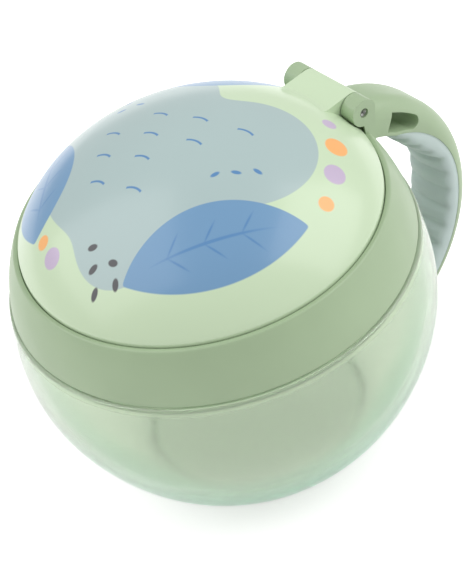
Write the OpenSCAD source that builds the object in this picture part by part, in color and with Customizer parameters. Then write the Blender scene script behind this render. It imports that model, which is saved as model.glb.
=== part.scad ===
// Toddler snack container: a clear round bowl, a screw collar with a handle,
// soft flaps in the mouth and a domed lid on a pin hinge.
// Millimetres, +Z up. The origin is the middle of the bowl's flat base,
// the handle and the hinge are at +Y and the hinge pin lies along X.

/* [Bowl] */
// How far the bowl's widest radius lies outside the lid's edge
bowl_bulge = 8; // [6:0.5:10]
// Height of the widest point above the base
bowl_wide_z = 44.5; // [42:0.5:47]
// Height of the shoulder that the collar stands on
shoulder_z = 58.5; // [56:0.5:62]
// Radius of the side's curve just below the widest point
bowl_side_r = 47; // [44:0.5:50]
// Radius of the flatter curve down to the base
bowl_lower_r = 60; // [58:0.5:64]
// Angle below level at which the two curves meet
bowl_break = 25; // [22:1:28]
// Radius of the side's curve above the widest point
bowl_upper_r = 70; // [60:1:90]
// Thickness of the bowl's wall
bowl_wall = 2.6; // [1.8:0.1:3.2]
// Thickness of the bowl's floor
bowl_floor = 4; // [3:0.5:6]
// Rounding of the base's edge
base_fillet = 4; // [2:0.5:6]
// Rounding inside, where the wall meets the floor
floor_fillet = 6; // [4:0.5:9]
// Thickness of the neck's wall
neck_wall = 2.4; // [1.8:0.1:3]
// Height of the neck above the shoulder
neck_h = 7.3; // [6.5:0.1:9]

/* [Collar] */
// How far the collar's lower edge lies outside the lid's edge
collar_flare = 6; // [5:0.25:6.5]
// Radius of the collar's flank curve, seen in section
collar_flank_r = 42; // [30:1:60]
// Width of the collar's lip around the lid
collar_lip = 0.9; // [0.6:0.1:1.4]
// How far the lip stands up beside the lid's edge
lip_up = 1.1; // [0.6:0.1:1.6]
// Rounding of the collar's lower edge
collar_edge_fillet = 0.9; // [0.5:0.1:1.4]
// Rounding of the collar's lip
lip_fillet = 0.4; // [0.2:0.05:0.6]
// Room for the screw thread between the neck and the collar's skirt
thread_room = 1.6; // [1:0.1:2]
// Thickness of the deck that the lid closes on
deck_t = 2.2; // [1.6:0.1:3]
// Width of the deck's seat under the lid's edge
seat_w = 4.5; // [4:0.1:5.5]

/* [Rings and flaps] */
// Thickness of the seal on the bowl's rim
seal_t = 0.9; // [0.8:0.1:1.6]
// Thickness of the ring that clamps the flaps
clamp_t = 1.3; // [1:0.1:2]
// How far the ring that clamps the flaps reaches into the mouth
clamp_reach = 1.5; // [0.5:0.5:2.5]
// Thickness of the flaps' outer ring
flap_ring_t = 1.6; // [1.4:0.1:2.4]
// Thickness of one flap
flap_t = 1.2; // [0.8:0.1:1.4]
// Distance of a flap's bending line from the mouth's edge
flap_root = 8.5; // [7.5:0.5:10]
// Width of the slit between two flaps
slit_w = 0.8; // [0.6:0.1:1.4]
// Distance of a flap's tip from the middle
flap_tip = 3.5; // [3:0.5:6]

/* [Lid] */
// Radius of the lid's edge
lid_r = 46; // [45.5:0.1:46.5]
// Height of the lid's upright edge
lid_edge_t = 2; // [1.6:0.1:2.6]
// How much larger the radius of the dome's crown is than the lid's
crown_more = 24; // [20:1:30]
// How much smaller the radius of the dome's shoulder is than the lid's
shoulder_less = 10; // [8:0.5:11]
// Angle at which the crown turns into the shoulder
crown_break = 25; // [23:0.5:27]
// Thickness of the dome's wall
lid_wall = 2.2; // [1.6:0.1:2.6]
// Wall of the plug that drops into the mouth
plug_wall = 1.6; // [1.2:0.1:2]
// Depth of the plug below the lid's edge
plug_depth = 1.9; // [1.2:0.1:2.1]

/* [Hinge] */
// How far the pin lies inside the lid's edge
hinge_in = 0.4; // [-0.2:0.1:0.6]
// Height of the pin above the lid's edge
hinge_up = 5.2; // [4.8:0.1:6]
// Radius of the hinge's barrels
barrel_r = 3.7; // [3.4:0.1:4]
// Width over both ears
ears_w = 26; // [25:0.5:28]
// Width of the lid's knuckle
knuckle_w = 16.4; // [15:0.2:17]
// How far each ear's back leans in towards its foot
ear_taper = 2; // [1:0.1:2.6]
// Radius of the pin
pin_r = 1.25; // [1:0.05:1.5]
// How far each end of the pin is sunk in its ear
pin_sink = 0.6; // [0.4:0.1:1]

/* [Handle] */
// How far the handle arc's centre lies inside the lid's edge
handle_in = 7.3; // [6:0.1:8]
// Outer radius of the handle's arc
handle_r = 39.8; // [39:0.1:41]
// Drop of the arc's centre below the lid's edge
handle_drop = 36.9; // [36:0.1:38]
// Width of the handle
handle_w = 16; // [15:0.2:16.4]
// Thickness of the handle behind the grip
handle_t = 4.1; // [3.6:0.1:5]
// Rounding of the handle's outer corners
handle_round = 5; // [3:0.1:5.4]
// Angle from upright at which the thick root has run out
curve_end = 95; // [90:1:100]
// How far the root's curve is set off towards that angle
curve_shift = 9.5; // [8.5:0.5:10.5]
// Angle from upright at which the handle ends
handle_end = 152; // [148:1:154]
// Radius of the handle's tip, seen from its back
tip_r = 9; // [8.4:0.1:12]
// Angle from upright at which the slot starts
slot_from = 31.5; // [30:0.5:33]
// Angle from upright at which the slot ends
slot_to = 50; // [47:0.5:51]
// Thickness of the handle over the slot
slot_cover = 3.4; // [3:0.1:3.8]
// Height of the slot
slot_h = 5.4; // [4.8:0.1:5.6]
// Thickness of the handle under the slot
slot_floor = 0.9; // [0.7:0.1:1.4]

/* [Grip] */
// How far the soft grip stays inside the handle's edges
grip_inset = 0.2; // [0.1:0.05:0.5]
// Thickness of the soft grip at its edges
grip_edge_t = 3; // [2.4:0.1:3.4]
// Height of the grip's crown across the handle
grip_crown = 1.4; // [1:0.1:1.8]
// Angle from upright that the grip's straight start faces
heel_angle = 53.6; // [52:0.2:55]
// Distance of the straight start from the arc's centre
heel_level = 28.1; // [27.8:0.1:28.4]
// Length of the straight start above the middle of its face
heel_up = 8.4; // [7.6:0.2:9]
// Distance of the first rib from the grip's start
rib_start = 3.4; // [2.6:0.2:4]
// Spacing of the ribs
rib_step = 5.4; // [5:0.1:5.6]
// Number of ribs on the straight start
heel_ribs = 4; // [3:1:4]
// Number of ribs on the round part
round_ribs = 6; // [4:1:6]
// Height of a rib
rib_h = 0.6; // [0.4:0.1:0.9]
// How far the ribs stay inside the grip's edges
rib_inset = 0.3; // [0.2:0.1:1]
// Rounding of a rib
rib_r = 2.4; // [2:0.1:3]

/* [Clearances] */
// Gap between pieces that are clamped or stacked
seat_gap = 0.1; // [0.05:0.05:0.2]
// Gap between pieces that slide past each other
slide_gap = 0.3; // [0.2:0.05:0.4]
// Gap around the lid's edge inside the lip
lid_gap = 0.5; // [0.4:0.05:0.7]
// Radial play of the pin
pin_gap = 0.05; // [0.02:0.01:0.1]
// Room around the hinge's barrels
barrel_gap = 0.4; // [0.3:0.05:0.6]

/* [Hidden] */
$fn = 96;
big = 400;

// The stack, from the shoulder up to the lid
collar_z = shoulder_z + slide_gap;
rim_z = shoulder_z + neck_h;
seal_z = rim_z + seat_gap;
clamp_z = seal_z + seal_t + seat_gap;
flap_ring_z = clamp_z + clamp_t + seat_gap;
deck_under_z = flap_ring_z + flap_ring_t + seat_gap;
deck_z = deck_under_z + deck_t;
lid_z = deck_z + seat_gap;
lid_plane = lid_z + lid_edge_t;

// Curves that follow each other cross at this small angle, over this overlap
crease = 1;
overlap = 1.5;
// How far a fillet stands out past the curve that it runs into
stand_out = 0.01;
// How far a block that cuts runs past what it cuts, in millimetres or degrees
past = 5;

// Radii that follow the lid's edge
neck_r = lid_r;
pocket_r = neck_r;
skirt_r = neck_r + thread_room;
mouth_r = lid_r - seat_w;
collar_edge_r = lid_r + collar_flare;
bowl_r = lid_r + bowl_bulge;
crown_r = lid_r + crown_more;
lid_shoulder_r = lid_r - shoulder_less;
ring_out_r = pocket_r - slide_gap;
clamp_r = mouth_r - clamp_reach;
flap_reach = mouth_r - flap_root;
hinge_y = lid_r - hinge_in;
handle_y = lid_r - handle_in;

// Bowl: centres of the three curves of its side
side_c = [bowl_r - bowl_side_r, bowl_wide_z];
upper_c = [bowl_r - bowl_upper_r, bowl_wide_z];
lower_c = side_c + bowl_side_r * below(bowl_break) - bowl_lower_r * below(bowl_break - crease);
neck_in_r = neck_r - neck_wall;

// Collar: its lip and its flank
recess_r = lid_r + lid_gap;
lip_r = recess_r + collar_lip;
lip_z = deck_z + lip_up;
flank_c = arc_centre([collar_edge_r, collar_z], [lip_r, lip_z], collar_flank_r);

// Lid: centres of the crown and the shoulder, and the rim's inner radius
shoulder_x = crown_r * sin(crown_break) - lid_shoulder_r * sin(crown_break - crease);
lid_shoulder_c = [shoulder_x, lid_plane - sqrt(pow(lid_shoulder_r, 2) - pow(lid_r - shoulder_x, 2))];
crown_c = [0, lid_shoulder_c[1] + lid_shoulder_r * cos(crown_break - crease) - crown_r * cos(crown_break)];
break_r = crown_r * sin(crown_break);
rim_in_r = shoulder_x + sqrt(pow(lid_shoulder_r - lid_wall, 2) - pow(lid_plane - lid_shoulder_c[1], 2));
plug_r = mouth_r - slide_gap;

// Hinge
hinge_z = lid_plane + hinge_up;
ear_in_x = knuckle_w / 2 + slide_gap;
ear_t = ears_w / 2 - ear_in_x;
bore_r = pin_r + pin_gap;
ear_front_y = hinge_y - barrel_r / 2;
ear_back_y = hinge_y + barrel_r;
stem_low_z = deck_under_z - deck_t / 2;

// Handle and grip
handle_z = lid_plane - handle_drop;
core_in_r = handle_r - handle_t;
slot_out_r = handle_r - slot_cover;
slot_in_r = slot_out_r - slot_h;
root_in_r = slot_in_r - slot_floor;
curve_bulge = 0.1;
curve_r = core_in_r + curve_bulge - curve_shift;
grip_r = core_in_r - grip_edge_t;
grip_w = handle_w - 2 * grip_inset;
blank_w = grip_w + 2;
crown_arc_r = (pow(grip_w / 2, 2) + pow(grip_crown, 2)) / (2 * grip_crown);
tip_angle = asin(tip_r / (handle_r - handle_t / 2));
heel_down = sqrt(pow(grip_r, 2) - pow(heel_level, 2)) + 1;
first_rib = rib_start - heel_up;
round_from = heel_angle + atan((first_rib + (heel_ribs - 0.5) * rib_step) / heel_level);
round_step = rib_step / grip_r * 180 / PI;

// Flaps
flap_count = 6;
bead_r = flap_t / 2;
flap_mid_z = flap_ring_z + flap_ring_t / 2;
flap_half = 180 / flap_count;
flap_hole = flap_reach + bead_r + slide_gap;

// Centre of the arc of radius r from p up to q that bulges away from the axis
function arc_centre(p, q, r) =
    let (d = q - p, half = norm(d) / 2, inward = [-d[1], d[0]] / norm(d))
    (p + q) / 2 + inward * sqrt(r * r - half * half);

// The direction at an angle below level
function below(a) = [cos(a), -sin(a)];

// Where a fillet f on the level z meets the circle (c, r) from inside
function fillet_x(c, r, f, z) = c[0] + sqrt(pow(r - f, 2) - pow(z - c[1], 2)) + stand_out;
function touch_z(c, r, f, z) = c[1] + (z - c[1]) * r / (r - f);

// The band of a disc between two levels, right of the axis
module disc_band(c, r, z0, z1) {
    intersection() {
        translate(c) circle(r);
        translate([0, z0]) square([big, z1 - z0]);
    }
}

// A level foot at z with a fillet that runs into the circle (c, r)
module filleted_foot(c, r, f, z, up = 1) {
    x = fillet_x(c, r, f, z + up * f);
    t = touch_z(c, r, f, z + up * f);
    translate([x, z + up * f]) circle(f);
    translate([0, min(z, t)]) square([x, abs(t - z)]);
}

// The bowl's side curves, moved inwards by in_by, from z0 with a filleted foot up to z1
module bowl_outline(in_by, z0, z1, f) {
    foot_z = touch_z(lower_c, bowl_lower_r - in_by, f, z0 + f);
    in_break_z = side_c[1] - (bowl_side_r - in_by) * sin(bowl_break);
    filleted_foot(lower_c, bowl_lower_r - in_by, f, z0);
    disc_band(lower_c, bowl_lower_r - in_by, foot_z, in_break_z + overlap);
    disc_band(side_c, bowl_side_r - in_by, in_break_z - overlap, bowl_wide_z);
    disc_band(upper_c, bowl_upper_r - in_by, bowl_wide_z, z1);
}

module bowl() {
    color("honeydew", 0.5) rotate_extrude() difference() {
        union() {
            bowl_outline(0, 0, shoulder_z, base_fillet);
            translate([0, shoulder_z - bowl_wall]) square([neck_r, neck_h + bowl_wall]);
        }
        bowl_outline(bowl_wall, bowl_floor, shoulder_z - bowl_wall, floor_fillet);
        translate([0, bowl_wide_z]) square([neck_in_r, big]);
    }
}

// A flat ring
module ring(r_out, r_in, z, t) {
    translate([0, 0, z]) difference() {
        cylinder(r = r_out, h = t);
        translate([0, 0, -t]) cylinder(r = r_in, h = 3 * t);
    }
}

module bowl_seal() {
    color("white") ring(ring_out_r, neck_in_r + seat_gap, seal_z, seal_t);
}

// The solid of revolution that the collar is cut from
module collar_blank() {
    low_z = touch_z(flank_c, collar_flank_r, collar_edge_fillet, collar_z + collar_edge_fillet);
    high_z = touch_z(flank_c, collar_flank_r, lip_fillet, lip_z - lip_fillet);
    rotate_extrude() {
        filleted_foot(flank_c, collar_flank_r, collar_edge_fillet, collar_z);
        disc_band(flank_c, collar_flank_r, low_z, high_z);
        filleted_foot(flank_c, collar_flank_r, lip_fillet, lip_z, -1);
    }
}

// The space inside the collar
module collar_inside() {
    translate([0, 0, collar_z - 1]) cylinder(r = skirt_r, h = rim_z - collar_z + 1);
    translate([0, 0, collar_z]) cylinder(r = pocket_r, h = deck_under_z - collar_z);
    cylinder(r = mouth_r, h = big);
    translate([0, 0, deck_z]) cylinder(r = recess_r, h = big);
}

// A bar along X that turns about the pin's line
module hinge_rod(r, x0, x1) {
    translate([x0, hinge_y, hinge_z]) rotate([0, 90, 0]) cylinder(r = r, h = x1 - x0);
}

// One ear: a barrel round the pin on a stem that grows out of the collar's lip
module ear() {
    hinge_rod(barrel_r, ear_in_x, ear_in_x + ear_t);
    difference() {
        translate([ear_in_x, 0, 0]) rotate([90, 0, 90]) linear_extrude(ear_t)
            polygon([[ear_front_y, stem_low_z], [ear_front_y, hinge_z], [ear_back_y, hinge_z],
                     [ear_back_y - ear_taper, stem_low_z]]);
        cylinder(r = recess_r + seat_gap, h = big);
    }
}

module collar() {
    color("darkseagreen") difference() {
        union() {
            difference() {
                collar_blank();
                collar_inside();
            }
            for (side = [0, 1]) mirror([side, 0, 0]) ear();
        }
        hinge_rod(bore_r, -ears_w, ears_w);
    }
}

// Sweeps a section about the handle's centre; angles are measured from upright, to the back
module handle_sweep(from, to) {
    translate([0, handle_y, handle_z]) rotate([0, 90, 0]) rotate([0, 0, 180 - to])
        rotate_extrude(angle = to - from) children();
}

// The handle's section: x is the distance from the arc's centre, y runs across
module handle_section() {
    half = handle_w / 2;
    depth = handle_r - root_in_r;
    translate([root_in_r, -half]) square([depth - handle_round, handle_w]);
    translate([root_in_r, handle_round - half]) square([depth, handle_w - 2 * handle_round]);
    intersection() {
        translate([root_in_r, -half]) square([depth, handle_w]);
        for (side = [-1, 1])
            translate([handle_r - handle_round, side * (half - handle_round)]) circle(handle_round);
    }
}

// What the rounded tip of radius r cuts off the end of the handle
module tip_cutter(r) {
    translate([0, handle_y, handle_z]) rotate([tip_angle - handle_end, 0, 0]) difference() {
        translate([-handle_w, 0, 0]) cube([2 * handle_w, handle_w, big]);
        cylinder(r = r, h = big);
    }
}

// A bar across the handle whose side is the curve on which the thick root runs out
module root_curve(r, wide) {
    translate([0, handle_y + curve_shift * sin(curve_end), handle_z + curve_shift * cos(curve_end)])
        rotate([0, 90, 0]) cylinder(r = r, h = wide, center = true);
}

// The hollow inside the handle that the soft grip fills
module grip_hollow(wide) {
    root_curve(curve_r, wide);
    handle_sweep(curve_end, handle_end + past)
        translate([curve_r, -wide / 2]) square([core_in_r - curve_r, wide]);
}

// The slot for a strap: square at the collar, round at its far end
module handle_slot() {
    end_r = slot_h / 2;
    end_at_r = slot_out_r - 0.8 * end_r;
    round_at = slot_to - asin(end_r / end_at_r);
    difference() {
        handle_sweep(slot_from, slot_to)
            translate([slot_in_r, -handle_w]) square([slot_h, 2 * handle_w]);
        root_curve(curve_r + slot_floor, 3 * handle_w);
        difference() {
            handle_sweep(round_at, slot_to + past)
                translate([slot_in_r - 1, -1.5 * handle_w]) square([slot_h + 2, 3 * handle_w]);
            translate([0, handle_y + end_at_r * sin(round_at), handle_z + end_at_r * cos(round_at)])
                rotate([0, 90, 0]) cylinder(r = end_r, h = 4 * handle_w, center = true);
        }
    }
}

module handle() {
    color("darkseagreen") difference() {
        handle_sweep(0, handle_end) handle_section();
        grip_hollow(2 * handle_w);
        tip_cutter(tip_r);
        collar_blank();
        cylinder(r = recess_r, h = big);
        hinge_rod(barrel_r + barrel_gap, -ears_w, ears_w);
        handle_slot();
    }
}

// The grip's section: its inner edges are at r, and its face is crowned towards the arc's centre
module grip_section(r) {
    translate([r, -blank_w / 2]) square([handle_r - r, blank_w]);
    intersection() {
        translate([r - grip_crown + crown_arc_r, 0]) circle(crown_arc_r);
        translate([0, -blank_w / 2]) square([r + grip_crown, blank_w]);
    }
}

// Turns what faces up to the angle at, and lays it at a distance y along the face
module grip_frame(at, y = 0) {
    translate([0, handle_y, handle_z]) rotate([-at, 0, 0]) translate([0, y, 0]) children();
}

// One rib on the level r: a ring segment that follows the grip's crown
module grip_rib(r) {
    span = 2 * asin((grip_w / 2 - rib_inset) / crown_arc_r);
    translate([0, 0, r + crown_arc_r]) rotate([90, 0, 0]) rotate([0, 0, -90 - span / 2])
        rotate_extrude(angle = span) translate([crown_arc_r - rib_r + rib_h, 0]) circle(rib_r);
}

module handle_grip() {
    color("lightslategray") difference() {
        union() {
            grip_frame(heel_angle, -heel_up) rotate([-90, 0, 0]) rotate([0, 0, -90])
                linear_extrude(heel_up + heel_down) grip_section(heel_level + grip_crown);
            handle_sweep(heel_angle, handle_end) grip_section(grip_r);
            for (i = [0 : heel_ribs - 1])
                grip_frame(heel_angle, first_rib + i * rib_step) grip_rib(heel_level);
            for (i = [0 : round_ribs - 1])
                grip_frame(round_from + (i + 0.5) * round_step) grip_rib(grip_r - grip_crown);
        }
        for (side = [0, 1]) mirror([side, 0, 0])
            translate([grip_w / 2, 0, -handle_r]) cube([handle_w, big, big]);
        tip_cutter(tip_r - grip_inset);
        difference() {
            translate([-handle_w, handle_y, handle_z - 1.5 * handle_r])
                cube([2 * handle_w, 2 * handle_r, 3 * handle_r]);
            grip_hollow(3 * handle_w);
        }
    }
}

module flap_clamp_ring() {
    color("darkseagreen") ring(ring_out_r, clamp_r, clamp_z, clamp_t);
}

module flap_ring() {
    color("lightsteelblue") difference() {
        translate([0, 0, flap_ring_z]) cylinder(r = ring_out_r, h = flap_ring_t);
        rotate([0, 0, flap_half]) cylinder(r = flap_hole / cos(flap_half), h = big, $fn = flap_count);
    }
}

// One soft flap, with a bead along its bending line
module flap(i) {
    slit = slit_w / 2 / cos(flap_half);
    tip_half = flap_tip * tan(flap_half) - slit;
    root_half = flap_reach * tan(flap_half) - slit;
    color("lightsteelblue") rotate([0, 0, i * 2 * flap_half]) {
        translate([0, 0, flap_mid_z - flap_t / 2]) linear_extrude(flap_t)
            polygon([[flap_tip, -tip_half], [flap_reach, -root_half],
                     [flap_reach, root_half], [flap_tip, tip_half]]);
        translate([flap_reach, 0, flap_mid_z]) rotate([90, 0, 0])
            cylinder(r = bead_r, h = 2 * root_half, center = true);
    }
}

module hinge_pin() {
    half = ears_w / 2 - pin_sink;
    color("silver") hinge_rod(pin_r, -half, half);
}

// The lid's dome, moved inwards by in_by, above the level z0 and inside the radius r
module dome_outline(in_by, z0, r = big) {
    in_break_r = (crown_r - in_by) * sin(crown_break);
    intersection() {
        translate(crown_c) circle(crown_r - in_by);
        translate([0, z0]) square([in_break_r + overlap, big]);
    }
    intersection() {
        translate(lid_shoulder_c) circle(lid_shoulder_r - in_by);
        translate([in_break_r - overlap, z0]) square([r - in_break_r + overlap, big]);
    }
}

// The block that joins the lid's knuckle to the dome
module knuckle_block() {
    front_y = break_r + lid_wall;
    low_z = lip_z + slide_gap;
    translate([-knuckle_w / 2, front_y, low_z])
        cube([knuckle_w, hinge_y - front_y, hinge_z + barrel_r - low_z]);
}

module lid() {
    color("palegreen") difference() {
        union() {
            rotate_extrude() dome_outline(0, lid_z, lid_r);
            hinge_rod(barrel_r, -knuckle_w / 2, knuckle_w / 2);
            knuckle_block();
            translate([0, 0, lid_z - plug_depth]) cylinder(r = plug_r, h = plug_depth + lid_edge_t);
        }
        difference() {
            rotate_extrude() {
                dome_outline(lid_wall, lid_z + lid_edge_t / 2, rim_in_r);
                square([rim_in_r, lid_z + 0.75 * lid_edge_t]);
            }
            ring(plug_r, plug_r - plug_wall, lid_z - plug_depth, big);
        }
        hinge_rod(bore_r, -ears_w, ears_w);
        for (side = [0, 1]) mirror([side, 0, 0])
            hinge_rod(barrel_r + barrel_gap, knuckle_w / 2, ears_w / 2 + slide_gap);
    }
}

module lid_seal() {
    color("white") ring(rim_in_r - 2 * seat_gap, plug_r + seat_gap, lid_z, lid_edge_t - seat_gap);
}

bowl();
bowl_seal();
collar();
handle();
handle_grip();
flap_clamp_ring();
flap_ring();
flap(0);  // flap_1
flap(1);  // flap_2
flap(2);  // flap_3
flap(3);  // flap_4
flap(4);  // flap_5
flap(5);  // flap_6
hinge_pin();
lid();
lid_seal();
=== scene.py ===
"""A toddler snack container: clear round bowl, screw collar with a handle, soft mouth flaps and a domed flip lid."""
import logging
import math
from collections.abc import Callable, Sequence
from dataclasses import dataclass, field, replace
from enum import Enum

import bmesh
import bpy
from mathutils import Matrix, Vector


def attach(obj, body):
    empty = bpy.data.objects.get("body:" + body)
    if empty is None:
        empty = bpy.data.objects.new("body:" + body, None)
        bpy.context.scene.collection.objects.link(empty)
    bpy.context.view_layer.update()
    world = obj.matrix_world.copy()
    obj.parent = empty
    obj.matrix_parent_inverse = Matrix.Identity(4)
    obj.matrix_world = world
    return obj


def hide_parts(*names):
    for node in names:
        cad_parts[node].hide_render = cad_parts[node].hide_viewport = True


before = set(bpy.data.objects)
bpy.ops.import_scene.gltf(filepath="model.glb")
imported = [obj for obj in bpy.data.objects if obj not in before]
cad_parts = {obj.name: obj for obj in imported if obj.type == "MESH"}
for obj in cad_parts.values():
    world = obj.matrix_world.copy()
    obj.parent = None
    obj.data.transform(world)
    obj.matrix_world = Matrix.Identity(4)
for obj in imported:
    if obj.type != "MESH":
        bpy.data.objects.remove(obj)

Point = tuple[float, float]
Place = tuple[float, float, float]
Colour = tuple[float, float, float, float]
Socket = bpy.types.NodeSocket
Finish = bpy.types.Material
Shape = bmesh.types.BMesh
Edge = bmesh.types.BMEdge

LOG = logging.getLogger("snack_container")
MM = 0.001
CENTRE: Place = (0.0, 0.0, 0.0)
ACROSS: Place = (1.0, 0.0, 0.0)
BACK: Place = (0.0, 1.0, 0.0)
UP: Place = (0.0, 0.0, 1.0)
WHITE: Colour = (1.0, 1.0, 1.0, 1.0)


# Colours and finishes


def srgb(code: str) -> Colour:
    """Turn a colour as it looks on screen into the value a shader takes.

    Args:
        code: Six hexadecimal digits.

    Returns:
        The linear colour with an alpha of one.
    """
    parts = [int(code[i : i + 2], 16) / 255 for i in (0, 2, 4)]
    made = [p / 12.92 if p <= 0.04045 else ((p + 0.055) / 1.055) ** 2.4 for p in parts]
    return made[0], made[1], made[2], 1.0


class Nodes:
    """A node tree with short ways to add and join its nodes."""

    def __init__(self, tree: bpy.types.NodeTree) -> None:
        """Start with an empty tree."""
        self.tree = tree
        tree.nodes.clear()

    def add(self, kind: str, **settings: object) -> bpy.types.Node:
        """Add a node of this kind and set its properties."""
        node = self.tree.nodes.new(kind)
        for key, value in settings.items():
            setattr(node, key, value)
        return node

    def join(self, source: object, target: Socket) -> None:
        """Link a socket to another, or put a plain value in it."""
        if isinstance(source, Socket):
            self.tree.links.new(source, target)
        else:
            target.default_value = source

    def feed(self, node: bpy.types.Node, *values: object, **named: object) -> bpy.types.Node:
        """Fill a node's inputs.

        Args:
            node: The node.
            values: Plain values or sockets for the first inputs, in order.
            named: The same by the input's name, with underscores for its spaces.

        Returns:
            The same node.
        """
        for value, target in zip(values, node.inputs):
            self.join(value, target)
        for key, value in named.items():
            self.join(value, node.inputs[key.replace("_", " ")])
        return node

    def maths(self, operation: str, *values: object) -> Socket:
        """Do one step of arithmetic on numbers or sockets and return the result."""
        return self.feed(self.add("ShaderNodeMath", operation=operation), *values).outputs[0]

    def vector(self, operation: str, *values: object, output: str = "Vector") -> Socket:
        """Do one step of vector arithmetic and return the named output."""
        return self.feed(self.add("ShaderNodeVectorMath", operation=operation), *values).outputs[output]

    def mix(self, factor: object, first: object, second: object) -> Socket:
        """Blend two colours by a factor and return the result."""
        node = self.add("ShaderNodeMix", data_type="RGBA")
        for value, index in ((factor, 0), (first, 6), (second, 7)):
            self.join(value, node.inputs[index])
        return node.outputs[2]

    def spread(self, value: object, low: float, high: float, start: float = 0.3, end: float = 0.7) -> Socket:
        """Map a value from start..end to low..high and return it."""
        node = self.add("ShaderNodeMapRange")
        return self.feed(node, Value=value, From_Min=start, From_Max=end, To_Min=low, To_Max=high).outputs["Result"]


class Board(Nodes):
    """The nodes of one material round a principled shader."""

    def __init__(self, name: str) -> None:
        """Start the material with its shader and output."""
        self.material = bpy.data.materials.new(name)
        self.material.use_nodes = True
        super().__init__(self.material.node_tree)
        self.out = self.add("ShaderNodeOutputMaterial")
        self.shader = self.add("ShaderNodeBsdfPrincipled")
        self.join(self.shader.outputs["BSDF"], self.out.inputs["Surface"])
        self.place = self.add("ShaderNodeTexCoord").outputs["Object"]

    def set(self, **sockets: object) -> None:
        """Set the principled shader's inputs by name."""
        self.feed(self.shader, **sockets)

    def noise(self, scale: float, detail: float = 2.0, place: Socket | None = None) -> Socket:
        """Return the grey value of a noise of this many waves a metre."""
        node = self.add("ShaderNodeTexNoise")
        return self.feed(node, Vector=self.place if place is None else place, Scale=scale, Detail=detail).outputs["Fac"]

    def grain(self, height: object, depth: float) -> None:
        """Let a height in 0..1 dent the surface by up to this depth in metres."""
        node = self.feed(self.add("ShaderNodeBump"), Strength=1.0, Distance=depth, Height=height)
        self.set(Normal=node.outputs["Normal"])


@dataclass(frozen=True)
class Moulded:
    """An opaque moulded plastic or rubber, with its fine grain and slight unevenness."""

    name: str
    colour: str
    roughness: float
    grain_per_m: float = 2600.0
    grain_depth: float = 6e-6
    coat: float = 0.0
    shade: float = 0.04
    sheen: float = 0.0
    glow: float = 0.0
    uneven: float = 1.0
    glossier: float = 0.03
    duller: float = 0.04
    coat_roughness: float = 0.12
    sheen_roughness: float = 0.5
    glow_depth: float = 0.002
    clouds_per_m: float = 38.0
    patches_per_m: float = 140.0

    def dress(self, board: Board, colour: Colour | Socket) -> None:
        """Give the shader its gloss, grain and unevenness over this colour.

        Args:
            board: The material's nodes.
            colour: The colour or the socket with it.
        """
        dark = board.spread(board.noise(self.clouds_per_m, 3.0), 1.0 - self.shade, 1.0 + self.shade)
        tinted = board.vector("SCALE", colour[:3] if isinstance(colour, tuple) else colour)
        board.feed(tinted.node, Scale=dark)
        low = self.roughness - self.glossier * self.uneven
        board.set(
            Base_Color=tinted,
            Roughness=board.spread(
                board.noise(self.patches_per_m, 4.0), low, self.roughness + self.duller * self.uneven
            ),
            Coat_Weight=self.coat,
            Coat_Roughness=self.coat_roughness,
            Sheen_Weight=self.sheen,
            Sheen_Roughness=self.sheen_roughness,
            Subsurface_Weight=self.glow,
            Subsurface_Scale=self.glow_depth,
        )
        board.grain(board.noise(self.grain_per_m), self.grain_depth)

    def material(self) -> Finish:
        """Make the material of this one colour."""
        board = Board(self.name)
        self.dress(board, srgb(self.colour))
        return board.material


@dataclass(frozen=True)
class ClearPlastic:
    """The bowl's clear plastic: a breath of green, mint where one looks along its lower wall, and a painted highlight:
    a lighter, milkier band on the shoulder under the collar.
    """

    name: str = "clear_bowl"
    colour: str = "ECF1E3"
    edge: str = "7CD8AA"
    edge_from: float = 0.52
    edge_to: float = 0.8
    edge_low: float = 0.016
    edge_high: float = 0.042
    # Painted highlight: the shoulder band's lighter colour and lower clearness stand in for the bright line under the
    # collar and lift the shade seen through the plastic there.
    rim: str = "D9E8CC"
    highlight_band_from: float = 0.0563
    highlight_band_to: float = 0.0568
    clearness: float = 0.86
    highlight_band_clearness: float = 0.55
    tint: Colour = (0.16, 0.86, 0.46, 1.0)
    tint_per_m: float = 22.0
    ior: float = 1.46
    glossiest: float = 0.08
    dullest: float = 0.13
    patches_per_m: float = 22.0
    ripples_per_m: float = 90.0
    ripple_depth: float = 2e-5

    def material(self) -> Finish:
        """Make the see-through material."""
        board = Board(self.name)
        height = board.feed(board.add("ShaderNodeSeparateXYZ"), board.place).outputs["Z"]
        facing = board.feed(board.add("ShaderNodeLayerWeight"), Blend=0.5).outputs["Facing"]
        low = board.spread(height, 1.0, 0.0, self.edge_low, self.edge_high)
        edge = board.spread(facing, 0.0, 1.0, self.edge_from, self.edge_to)
        skin = board.mix(board.maths("MULTIPLY", low, edge), srgb(self.colour), srgb(self.edge))
        # Painted highlight: above the shoulder's height the plastic turns lighter and less clear.
        rim = board.spread(height, 0.0, 1.0, self.highlight_band_from, self.highlight_band_to)
        board.set(
            Base_Color=board.mix(rim, skin, srgb(self.rim)),
            Transmission_Weight=board.spread(height, self.clearness, self.highlight_band_clearness, self.highlight_band_from, self.highlight_band_to),
            Roughness=board.spread(board.noise(self.patches_per_m), self.glossiest, self.dullest),
            IOR=self.ior,
        )
        board.grain(board.noise(self.ripples_per_m, 1.0), self.ripple_depth)
        inside = board.feed(board.add("ShaderNodeVolumeAbsorption"), Color=self.tint, Density=self.tint_per_m)
        board.join(inside.outputs["Volume"], board.out.inputs["Volume"])
        return board.material


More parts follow.
